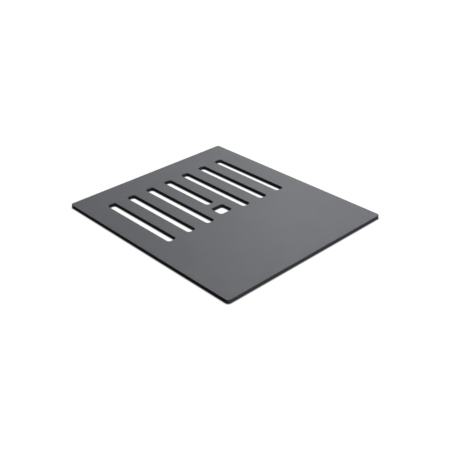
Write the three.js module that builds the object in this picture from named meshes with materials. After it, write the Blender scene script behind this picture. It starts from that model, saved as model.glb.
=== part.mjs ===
// A loose plate grate for a floor drain: one flat steel plate, cut right through by seven parallel
// slots in one half, with a square lifting hole in the middle, and coated all over.
// Millimetres, +Z up. The origin is the centre of the underside, +X runs along the slots towards
// the plain half, and the plate mirrors across the XZ plane.

import * as THREE from "three";

// Plate: cut from 4 mm sheet, the coat adds the last tenth
const plateLength = 240; // along X
const plateWidth = 210; // along Y
const plateThickness = 4.1;
const edgeChamfer = 0.25; // every sharp edge is broken before coating
const cornerRadius = 3; // the same at the plate's corners, in the slots and in the lifting hole

// Slots: a row across the plate, all starting on the same line
const slotCount = 7;
const slotPitch = 25;
const slotWidth = 9.8;
const slotLength = 101;
const slotMargin = 30; // from the plate's end to the line where every slot starts
const shortSlotLength = 72.5; // the middle slot stops short of the lifting hole

// Lifting hole, on the plate's centre line
const liftHoleSide = 15.8;
const liftHoleCentreX = -1;

const arcSteps = 3; // flats in an eighth of a turn of a round corner

// A rectangle with round corners, traced once round anticlockwise onto a Shape or a Path.
function roundedRectangle(path, { centreX, centreY, length, width }) {
  const right = centreX + length / 2 - cornerRadius;
  const left = centreX - length / 2 + cornerRadius;
  const back = centreY + width / 2 - cornerRadius;
  const front = centreY - width / 2 + cornerRadius;
  const quarter = Math.PI / 2;
  path.absarc(right, front, cornerRadius, -quarter, 0);
  path.absarc(right, back, cornerRadius, 0, quarter);
  path.absarc(left, back, cornerRadius, quarter, 2 * quarter);
  path.absarc(left, front, cornerRadius, 2 * quarter, 3 * quarter);
  path.closePath();
  return path;
}

function plateOutline() {
  return roundedRectangle(new THREE.Shape(), {
    centreX: 0,
    centreY: 0,
    length: plateLength,
    width: plateWidth,
  });
}

function slotOutline(index) {
  const middle = (slotCount - 1) / 2;
  const length = index === middle ? shortSlotLength : slotLength;
  return roundedRectangle(new THREE.Path(), {
    centreX: slotMargin - plateLength / 2 + length / 2,
    centreY: (index - middle) * slotPitch,
    length,
    width: slotWidth,
  });
}

function liftHoleOutline() {
  return roundedRectangle(new THREE.Path(), {
    centreX: liftHoleCentreX,
    centreY: 0,
    length: liftHoleSide,
    width: liftHoleSide,
  });
}

// The plate in one extrusion. The chamfer is taken out of the thickness and the outlines, so that
// the sizes above stay the outside sizes and the true openings.
function plateGeometry() {
  const outline = plateOutline();
  for (let index = 0; index < slotCount; index += 1) {
    outline.holes.push(slotOutline(index));
  }
  outline.holes.push(liftHoleOutline());
  return new THREE.ExtrudeGeometry(outline, {
    depth: plateThickness - 2 * edgeChamfer,
    curveSegments: arcSteps,
    bevelEnabled: true,
    bevelThickness: edgeChamfer,
    bevelSize: edgeChamfer,
    bevelOffset: -edgeChamfer,
    bevelSegments: 1,
  });
}

const coat = new THREE.MeshStandardMaterial({
  name: "graphite_coat",
  color: new THREE.Color(0x43454a),
  roughness: 0.5,
  metalness: 0,
});

const gratePlate = new THREE.Mesh(plateGeometry(), coat);
gratePlate.name = "grate_plate";
gratePlate.position.z = edgeChamfer;

const floorDrainGrate = new THREE.Group();
floorDrainGrate.add(gratePlate);

export default floorDrainGrate;
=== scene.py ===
import math

import bpy
from mathutils import Matrix, Vector


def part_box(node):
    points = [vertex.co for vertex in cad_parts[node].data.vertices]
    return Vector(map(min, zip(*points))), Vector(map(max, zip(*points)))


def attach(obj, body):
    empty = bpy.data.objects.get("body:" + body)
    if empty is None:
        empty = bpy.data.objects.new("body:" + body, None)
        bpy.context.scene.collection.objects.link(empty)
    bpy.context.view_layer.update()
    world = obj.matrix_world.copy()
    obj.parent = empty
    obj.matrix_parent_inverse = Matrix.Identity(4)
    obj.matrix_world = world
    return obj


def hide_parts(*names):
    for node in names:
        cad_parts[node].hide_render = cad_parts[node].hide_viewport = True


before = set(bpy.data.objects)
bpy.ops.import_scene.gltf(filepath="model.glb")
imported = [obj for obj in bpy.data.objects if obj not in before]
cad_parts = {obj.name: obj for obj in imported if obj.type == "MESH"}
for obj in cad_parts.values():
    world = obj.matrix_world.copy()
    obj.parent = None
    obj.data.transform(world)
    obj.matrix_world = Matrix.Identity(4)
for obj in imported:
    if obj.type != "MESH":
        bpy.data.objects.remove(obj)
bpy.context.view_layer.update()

# A slotted floor drain plate, cut from steel sheet and coated in satin graphite.
# Metres, +Z up. +X runs along the slots towards the plain half, and the plate lies on z = 0.

millimetre = 0.001
plateLow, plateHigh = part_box("grate_plate")


class Wire:  # one socket of a node tree; a sum written with it adds the nodes that work it out
    def __init__(self, tree, socket):
        self.tree = tree
        self.socket = socket

    def out(self, name):  # another output of the same node
        return Wire(self.tree, self.socket.node.outputs[name])

    def math(self, operation, *values):
        return addNode(self.tree, "ShaderNodeMath", {"operation": operation}, dict(enumerate(values)))

    def __add__(self, other):
        return self.math("ADD", self, other)

    def __radd__(self, other):
        return self.math("ADD", other, self)

    def __sub__(self, other):
        return self.math("SUBTRACT", self, other)

    def __rsub__(self, other):
        return self.math("SUBTRACT", other, self)

    def __mul__(self, other):
        return self.math("MULTIPLY", self, other)

    def __rmul__(self, other):
        return self.math("MULTIPLY", other, self)

    def __truediv__(self, other):
        return self.math("DIVIDE", self, other)

    def __abs__(self):
        return self.math("ABSOLUTE", self)

    def __lt__(self, other):
        return self.math("LESS_THAN", self, other)

    def __gt__(self, other):
        return self.math("GREATER_THAN", self, other)

    def __rtruediv__(self, other):
        return self.math("DIVIDE", other, self)

    def sign(self):
        return self.math("SIGN", self)

    def sine(self):
        return self.math("SINE", self)

    def cosine(self):
        return self.math("COSINE", self)

    def rounded(self):
        return self.math("ROUND", self)

    def atLeast(self, other):
        return self.math("MAXIMUM", self, other)

    def atMost(self, other):
        return self.math("MINIMUM", self, other)

    def hypotenuse(self, other):
        return self.math("SQRT", self * self + other * other)

    def fade(self, start, end, first=1.0, last=0.0):  # first up to start, last from end on
        values = {"Value": self, "From Min": start, "From Max": end, "To Min": first, "To Max": last}
        return addNode(self.tree, "ShaderNodeMapRange", {"interpolation_type": "SMOOTHSTEP"}, values)


# Any other node: its settings first, then the values or links of its sockets.
def addNode(tree, kind, settings=None, values=None, output=0):
    node = tree.nodes.new(kind)
    for name, value in (settings or {}).items():
        setattr(node, name, value)
    for name, value in (values or {}).items():
        for single in value if isinstance(value, list) else [value]:
            if isinstance(single, Wire):
                tree.links.new(single.socket, node.inputs[name])
            else:
                node.inputs[name].default_value = single
    return Wire(tree, node.outputs[output]) if len(node.outputs) else None


def addVector(tree, **axes):
    return addNode(tree, "ShaderNodeCombineXYZ", {}, axes)


def addAxes(tree, vector):  # its out("X"), out("Y") and out("Z") are the vector's parts
    return addNode(tree, "ShaderNodeSeparateXYZ", {}, {"Vector": vector})


def addMoved(tree, geometry, **axes):
    return addNode(tree, "GeometryNodeTransform", {}, {
        "Geometry": geometry,
        "Translation": addVector(tree, **axes),
    })


plateSizes = {
    "Length": plateHigh.x - plateLow.x,  # along X
    "Width": plateHigh.y - plateLow.y,
    "Thickness": plateHigh.z - plateLow.z,
    "Corner Radius": 3 * millimetre,  # at the plate's corners, in the slots and in the lifting hole
    "Edge Rounding": 0.25 * millimetre,
    "Slot Count": 7,
    "Slot Pitch": 25 * millimetre,
    "Slot Width": 9.8 * millimetre,
    "Slot Length": 101 * millimetre,
    "Short Slot Length": 72.5 * millimetre,  # the middle slot
    "Slot Margin": 30 * millimetre,  # from the plate's end to where every slot starts
    "Hole Side": 15.8 * millimetre,
    "Hole Centre": -1 * millimetre,
    "Corner Steps": 12,
    "Rounding Steps": 5,
}
weldReach = 0.001 * millimetre


def addStored(tree, geometry, name, vector):
    return addNode(tree, "GeometryNodeStoreNamedAttribute", {"data_type": "FLOAT_VECTOR"}, {
        "Geometry": geometry,
        "Name": name,
        "Value": vector,
    })


# How far past the straight part of a side a place is, with the sign of the place.
def pastStraight(place, side, radius):
    return (abs(place) - (side / 2 - radius)).atLeast(0) * place.sign()


# A rectangle with round corners, round its own middle. Its points keep the way out of the steel,
# which is outwards for the rim, with a facing of 1, and inwards for a cutout, with -1.
def addOutline(tree, sizes, length, width, facing):
    radius = sizes["Corner Radius"]
    sides = {"Width": length, "Height": width}
    rounded = addNode(tree, "GeometryNodeFilletCurve", {"mode": "POLY"}, {
        "Curve": addNode(tree, "GeometryNodeCurvePrimitiveQuadrilateral", {}, sides),
        "Count": sizes["Corner Steps"],
        "Radius": radius,
    })
    place = addAxes(tree, addNode(tree, "GeometryNodeInputPosition"))
    x = pastStraight(place.out("X"), length, radius)
    y = pastStraight(place.out("Y"), width, radius)
    out = facing / x.hypotenuse(y)
    return addStored(tree, rounded, "way out", addVector(tree, X=x * out, Y=y * out))


# A slot's outline on each chosen point, which is where the slot starts.
def addSlotRow(tree, sizes, points, chosen, length):
    outline = addOutline(tree, sizes, length, sizes["Slot Width"], -1)
    return addNode(tree, "GeometryNodeInstanceOnPoints", {}, {
        "Points": points,
        "Selection": chosen,
        "Instance": addMoved(tree, outline, X=length / 2),
    })


# The outlines of all that is cut out: the slots and the lifting hole.
def addCutouts(tree, sizes):
    middle = (sizes["Slot Count"] - 1) / 2
    points = addNode(tree, "GeometryNodeMeshLine", {"mode": "OFFSET"}, {
        "Count": sizes["Slot Count"],
        "Start Location": addVector(
            tree, X=sizes["Slot Margin"] - sizes["Length"] / 2, Y=middle * sizes["Slot Pitch"] * -1
        ),
        "Offset": addVector(tree, Y=sizes["Slot Pitch"]),
    })
    fromMiddle = abs(addNode(tree, "GeometryNodeInputIndex") - middle)
    longSlots = addSlotRow(tree, sizes, points, fromMiddle > 0.5, sizes["Slot Length"])
    shortSlot = addSlotRow(tree, sizes, points, fromMiddle < 0.5, sizes["Short Slot Length"])
    square = addOutline(tree, sizes, sizes["Hole Side"], sizes["Hole Side"], -1)
    hole = addMoved(tree, square, X=sizes["Hole Centre"])
    cutouts = addNode(tree, "GeometryNodeJoinGeometry", {}, {"Geometry": [longSlots, shortSlot, hole]})
    return addNode(tree, "GeometryNodeRealizeInstances", {}, {"Geometry": cutouts})


# The edge's section, from the top face round to the underside: a quarter round, a flat and a
# quarter round. Its X points out of the steel, and its Y points down. Its points keep how much
# they face out and up.
def addEdgeSection(tree, sizes):
    steps = sizes["Rounding Steps"]
    rounding = sizes["Edge Rounding"]
    thickness = sizes["Thickness"]
    index = addNode(tree, "GeometryNodeInputIndex")
    isLower = index > steps
    angle = (index - isLower) / steps * (math.pi / 2)
    out = angle.sine()
    up = angle.cosine()
    line = addNode(tree, "GeometryNodeMeshLine", {"mode": "OFFSET"}, {"Count": steps * 2 + 2})
    bent = addNode(tree, "GeometryNodeSetPosition", {}, {
        "Geometry": addNode(tree, "GeometryNodeMeshToCurve", {}, {"Mesh": line}),
        "Position": addVector(
            tree,
            X=(out - 1) * rounding,
            Y=(1 - up) * rounding + isLower * (thickness - rounding * 2) - thickness,
        ),
    })
    return addStored(tree, bent, "facing", addVector(tree, X=out, Y=out, Z=up))


# The flat face that joins the chosen rims of the walls. up is 1 on top and -1 underneath.
def addFace(tree, walls, rims, height, up):
    rimCurves = addNode(tree, "GeometryNodeMeshToCurve", {}, {"Mesh": walls, "Selection": rims})
    filled = addNode(tree, "GeometryNodeFillCurve", {"mode": "TRIANGLES"}, {"Curve": rimCurves})
    return addStored(tree, addMoved(tree, filled, Z=height), "facing", (0, 0, up))


# Smooth shading that keeps the flats flat: each point's normal is worked out from the way out of
# the steel in plan and from how much the edge's section faces out and up there.
def addNormals(tree, mesh):
    reading = {"data_type": "FLOAT_VECTOR"}
    wayOut = addNode(tree, "GeometryNodeInputNamedAttribute", reading, {"Name": "way out"})
    facing = addNode(tree, "GeometryNodeInputNamedAttribute", reading, {"Name": "facing"})
    sideways = addNode(tree, "ShaderNodeVectorMath", {"operation": "MULTIPLY"}, {0: wayOut, 1: facing})
    upward = addVector(tree, Z=addAxes(tree, facing).out("Z"))
    normal = addNode(tree, "ShaderNodeVectorMath", {"operation": "ADD"}, {0: sideways, 1: upward})
    smooth = addNode(tree, "GeometryNodeSetShadeSmooth", {}, {"Geometry": mesh})
    turned = addNode(tree, "GeometryNodeSetMeshNormal", {"mode": "FREE", "domain": "POINT"}, {
        "Mesh": smooth,
        "Custom Normal": normal,
    })
    plain = addNode(tree, "GeometryNodeRemoveAttribute", {}, {"Geometry": turned, "Name": "way out"})
    return addNode(tree, "GeometryNodeRemoveAttribute", {}, {"Geometry": plain, "Name": "facing"})


# The whole plate: the edge's section swept round every outline, and a face on each side.
def plateTree():
    tree = bpy.data.node_groups.new("slotted plate", "GeometryNodeTree")
    tree.interface.new_socket("Plate", in_out="OUTPUT", socket_type="NodeSocketGeometry")
    for name, value in plateSizes.items():
        kind = "NodeSocketInt" if isinstance(value, int) else "NodeSocketFloat"
        tree.interface.new_socket(name, in_out="INPUT", socket_type=kind)
    tree.interface.new_socket("Coat", in_out="INPUT", socket_type="NodeSocketMaterial")
    given = addNode(tree, "NodeGroupInput")
    sizes = {name: given.out(name) for name in plateSizes}

    rim = addOutline(tree, sizes, sizes["Length"], sizes["Width"], 1)
    turned = addNode(tree, "GeometryNodeReverseCurve", {}, {"Curve": addCutouts(tree, sizes)})
    outlines = addNode(tree, "GeometryNodeJoinGeometry", {}, {"Geometry": [rim, turned]})
    upright = addNode(tree, "GeometryNodeSetCurveNormal", {"mode": "Z_UP"}, {"Curve": outlines})
    walls = addNode(tree, "GeometryNodeCurveToMesh", {}, {
        "Curve": upright,
        "Profile Curve": addEdgeSection(tree, sizes),
    })

    isRim = addNode(tree, "GeometryNodeInputMeshEdgeNeighbors") < 2
    place = addAxes(tree, addNode(tree, "GeometryNodeInputPosition"))
    isTop = place.out("Z") > sizes["Thickness"] / 2
    top = addFace(tree, walls, isRim * isTop, sizes["Thickness"], 1)
    underside = addFace(tree, walls, isRim * (1 - isTop), 0.0, -1)
    turnedDown = addNode(tree, "GeometryNodeFlipFaces", {}, {"Mesh": underside})
    parts = addNode(tree, "GeometryNodeJoinGeometry", {}, {"Geometry": [walls, top, turnedDown]})
    welded = addNode(tree, "GeometryNodeMergeByDistance", {}, {"Geometry": parts, "Distance": weldReach})
    shaded = addNormals(tree, welded)
    real = addNode(tree, "GeometryNodeRealizeInstances", {}, {"Geometry": shaded})
    coat = given.out("Coat")
    coated = addNode(tree, "GeometryNodeSetMaterial", {}, {"Geometry": real, "Material": coat})
    addNode(tree, "NodeGroupOutput", {}, {"Plate": coated})
    return tree


# The modifiers' result as a plain mesh with the one material.
def settle(piece, material):
    graph = bpy.context.evaluated_depsgraph_get()
    mesh = bpy.data.meshes.new_from_object(piece.evaluated_get(graph))
    mesh.materials.clear()
    mesh.materials.append(material)
    piece.modifiers.clear()
    piece.data = mesh
    print(piece.name, "has", len(mesh.polygons), "faces")


def makePlate(coat):
    plate = bpy.data.objects.new("slotted_plate", bpy.data.meshes.new("slotted_plate"))
    bpy.context.scene.collection.objects.link(plate)
    tree = plateTree()
    cutting = plate.modifiers.new("Cutting", "NODES")
    cutting.node_group = tree
    values = plateSizes | {"Coat": coat}
    for item in tree.interface.items_tree:
        if item.in_out == "INPUT":
            cutting[item.identifier] = values[item.name]
    settle(plate, coat)
    return plate


# A fine-texture powder coat: a grain over a faint ripple, in slightly uneven patches, worn
# lighter in specks along the edges.
coatFinish = {
    "colour": (0.052, 0.0545, 0.06),
    "roughness": 0.5,
    "grain size": 0.45 * millimetre,
    "grain depth": 0.045 * millimetre,
    "grain shade": 0.5,  # share of the colour, from the darkest to the lightest grain
    "ripple size": 3 * millimetre,
    "ripple depth": 0.02 * millimetre,
    "patch size": 14 * millimetre,
    "patch detail": 4.0,
    "patch shade": 0.08,  # share of the colour
    "patch roughness": 0.08,
    "worn colour": (0.15, 0.154, 0.162, 1),
    "worn share": 0.6,
    "worn edge": 0.2 * millimetre,  # the wear is full up to here
    "worn reach": 0.7 * millimetre,  # and none from here on
    "worn grain": (0.45, 0.6),  # it takes from the middle to the tops of the grain
}


def addNoise(tree, place, size, detail=2.0):
    return addNode(tree, "ShaderNodeTexNoise", {}, {"Vector": place, "Scale": 1 / size, "Detail": detail})


def addScaled(tree, vector, scale):
    return addNode(tree, "ShaderNodeVectorMath", {"operation": "SCALE"}, {0: vector, "Scale": scale})


def addColourMix(tree, share, first, second):
    return addNode(tree, "ShaderNodeMix", {"data_type": "RGBA"}, {0: share, 6: first, 7: second}, output=2)


# How far outside a round-cornered rectangle a point is; below zero inside it.
def outsideOf(along, across, length, width, radius):
    overLength = abs(along) - (length / 2 - radius)
    overWidth = abs(across) - (width / 2 - radius)
    corner = overLength.atLeast(0).hypotenuse(overWidth.atLeast(0))
    return corner + overLength.atLeast(overWidth).atMost(0) - radius


# The distance to the nearest edge of the steel, over the faces and down the walls.
def edgeDistance(place):
    sizes = plateSizes
    radius = sizes["Corner Radius"]
    x = place.out("X")
    y = place.out("Y")
    z = place.out("Z")
    reach = (sizes["Slot Count"] - 1) / 2
    nearest = (y / sizes["Slot Pitch"]).rounded().atLeast(-reach).atMost(reach)
    isMiddle = abs(nearest) < 0.5
    slotLength = sizes["Slot Length"] - isMiddle * (sizes["Slot Length"] - sizes["Short Slot Length"])
    slotX = x - (sizes["Slot Margin"] - sizes["Length"] / 2) - slotLength / 2
    slotY = y - nearest * sizes["Slot Pitch"]
    toRim = outsideOf(x, y, sizes["Length"], sizes["Width"], radius) * -1
    toSlot = outsideOf(slotX, slotY, slotLength, sizes["Slot Width"], radius)
    toHole = outsideOf(x - sizes["Hole Centre"], y, sizes["Hole Side"], sizes["Hole Side"], radius)
    inPlan = toRim.atMost(toSlot).atMost(toHole).atLeast(0)
    inHeight = z.atMost(sizes["Thickness"] - z).atLeast(0)
    return inPlan.hypotenuse(inHeight)


def graphiteCoat():
    coat = bpy.data.materials.new("satin_graphite_coat")
    coat.use_nodes = True
    tree = coat.node_tree
    tree.nodes.clear()
    look = coatFinish
    place = addNode(tree, "ShaderNodeTexCoord").out("Object")

    grain = addNoise(tree, place, look["grain size"])
    ripple = addNoise(tree, place, look["ripple size"])
    patch = addNoise(tree, place, look["patch size"], look["patch detail"])

    shade = 1 + (patch - 0.5) * look["patch shade"] + (grain - 0.5) * look["grain shade"]
    plain = addScaled(tree, look["colour"], shade)
    distance = edgeDistance(addAxes(tree, place))
    nearEdge = distance.fade(look["worn edge"], look["worn reach"], look["worn share"])
    worn = nearEdge * grain.fade(*look["worn grain"], first=0.0, last=1.0)
    height = grain + ripple * (look["ripple depth"] / look["grain depth"])
    bump = addNode(tree, "ShaderNodeBump", {}, {"Distance": look["grain depth"], "Height": height})
    shader = addNode(tree, "ShaderNodeBsdfPrincipled", {}, {
        "Base Color": addColourMix(tree, worn, plain, look["worn colour"]),
        "Roughness": look["roughness"] + (patch - 0.5) * look["patch roughness"],
        "Normal": bump,
    })
    addNode(tree, "ShaderNodeOutputMaterial", {}, {"Surface": shader})
    return coat


cameraSetup = {  # lengths in metres, unless they say otherwise
    "azimuth": 47.4,  # degrees round from straight in front, towards +X
    "elevation": 30.21,
    "roll": -1.06,
    "lens": 59.74,  # millimetres
    "sensor": 36,  # millimetres
    "nearest": 0.01,
    "distance": 0.7382,
    "aim": (0.0255, -0.0199),  # on the plate's top face
}


# The direction from the plate to a camera or a softbox, from its degrees round and up.
def wayFromPlate(azimuth, elevation):
    turn = math.radians(azimuth)
    level = math.cos(math.radians(elevation))
    return Vector((math.sin(turn) * level, -math.cos(turn) * level, math.sin(math.radians(elevation))))


def makeCamera():
    setup = cameraSetup
    back = wayFromPlate(setup["azimuth"], setup["elevation"])
    aim = Vector((*setup["aim"], plateHigh.z))
    turn = (-back).to_track_quat("-Z", "Y").to_matrix().to_4x4()
    camera = bpy.data.objects.new("camera", bpy.data.cameras.new("camera"))
    camera.data.sensor_width = setup["sensor"]
    camera.data.lens = setup["lens"]
    camera.data.clip_start = setup["nearest"]
    roll = Matrix.Rotation(math.radians(setup["roll"]), 4, "Z")
    camera.matrix_world = Matrix.Translation(aim + back * setup["distance"]) @ turn @ roll
    bpy.context.scene.collection.objects.link(camera)
    bpy.context.scene.camera = camera


softboxColour = (0.972, 0.982, 1.022)
roomLight = 0.023

# Softboxes, all pointed at the plate: degrees round from in front towards +X, degrees up, metres
# away, metres to a side, and watts.
softboxes = {
    "back_large": {"azimuth": 235, "elevation": 35, "distance": 1.6, "side": 1.6, "power": 11.5},
    "back_low": {"azimuth": 195, "elevation": 20, "distance": 1.6, "side": 1.6, "power": 10.5},
    "back_near": {"azimuth": 215, "elevation": 50, "distance": 0.9, "side": 0.5, "power": 2.2},
    "right_low": {"azimuth": 100, "elevation": 8, "distance": 1.2, "side": 0.6, "power": 6.5},
    "front_fill": {"azimuth": 0, "elevation": 30, "distance": 1.6, "side": 1.0, "power": 2.7},
}


def makeSoftbox(name):
    box = softboxes[name]
    lamp = bpy.data.lights.new(name, "AREA")
    lamp.shape = "SQUARE"
    lamp.size = box["side"]
    lamp.energy = box["power"]
    lamp.color = softboxColour
    back = wayFromPlate(box["azimuth"], box["elevation"])
    softbox = bpy.data.objects.new(name, lamp)
    softbox.location = back * box["distance"]
    softbox.rotation_euler = (-back).to_track_quat("-Z", "Y").to_euler()
    softbox.visible_camera = False
    bpy.context.scene.collection.objects.link(softbox)


sweepSizes = {  # metres
    "floor radius": 3.0,
    "bend radius": 1.0,
    "wall height": 3.0,
    "round steps": 64,
    "bend steps": 12,
    "light": 1.0,
    "painted shade reach": 1.6 * millimetre,  # how far the painted shade at the plate's foot spreads over the floor
}


# The sweep's section, as pairs of radius and height: the floor's rim, the bend and the wall's top.
def sweepSection():
    rim = sweepSizes["floor radius"]
    bend = sweepSizes["bend radius"]
    section = []
    for step in range(sweepSizes["bend steps"] + 1):
        angle = math.pi / 2 * step / sweepSizes["bend steps"]
        section.append((rim + bend * math.sin(angle), bend * (1 - math.cos(angle))))
    return section + [(rim + bend, sweepSizes["wall height"])]


# A white sweep: a round floor whose rim turns up all round. Only the camera sees it, so it throws
# no light back onto the plate's edges.
def makeSweep():
    steps = sweepSizes["round steps"]
    section = sweepSection()
    vertices = [(0, 0, 0)]
    faces = []
    for radius, height in section:
        for step in range(steps):
            angle = 2 * math.pi * step / steps
            vertices.append((radius * math.cos(angle), radius * math.sin(angle), height))
    for step in range(steps):
        following = (step + 1) % steps
        faces.append((0, 1 + step, 1 + following))
        for ring in range(len(section) - 1):
            inner = 1 + ring * steps
            outer = inner + steps
            faces.append((inner + step, outer + step, outer + following, inner + following))
    mesh = bpy.data.meshes.new("sweep")
    mesh.from_pydata(vertices, [], faces)
    mesh.materials.append(paperWithPaintedShade())
    sweep = bpy.data.objects.new("sweep", mesh)
    bpy.context.scene.collection.objects.link(sweep)
    sweep.visible_diffuse = False
    sweep.visible_glossy = False
    sweep.visible_shadow = False


# White paper that glows evenly, with a painted shadow only where it meets the plate.
def paperWithPaintedShade():
    paper = bpy.data.materials.new("white_paper_painted_shade")
    paper.use_nodes = True
    tree = paper.node_tree
    tree.nodes.clear()
    reach = {"Distance": sweepSizes["painted shade reach"]}
    # Painted contact shadow: ambient occlusion darkens the paper's glow colour near the plate's foot.
    openness = addNode(tree, "ShaderNodeAmbientOcclusion", {}, reach).out("AO")
    white = addScaled(tree, (1, 1, 1), openness * openness)
    glow = addNode(tree, "ShaderNodeEmission", {}, {"Color": white, "Strength": sweepSizes["light"]})
    addNode(tree, "ShaderNodeOutputMaterial", {}, {"Surface": glow})
    return paper


def makeRoomLight():
    world = bpy.data.worlds.new("room")
    world.use_nodes = True
    tree = world.node_tree
    tree.nodes.clear()
    light = addNode(tree, "ShaderNodeBackground", {}, {"Strength": roomLight})
    addNode(tree, "ShaderNodeOutputWorld", {}, {"Surface": light})
    bpy.context.scene.world = world


makeCamera()
print("camera ready")
plate = makePlate(graphiteCoat())
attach(plate, "root")
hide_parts("grate_plate")
print("plate ready")
makeSweep()
makeRoomLight()
for boxName in softboxes:
    makeSoftbox(boxName)
bpy.context.scene.view_settings.view_transform = "Standard"
print("studio ready")
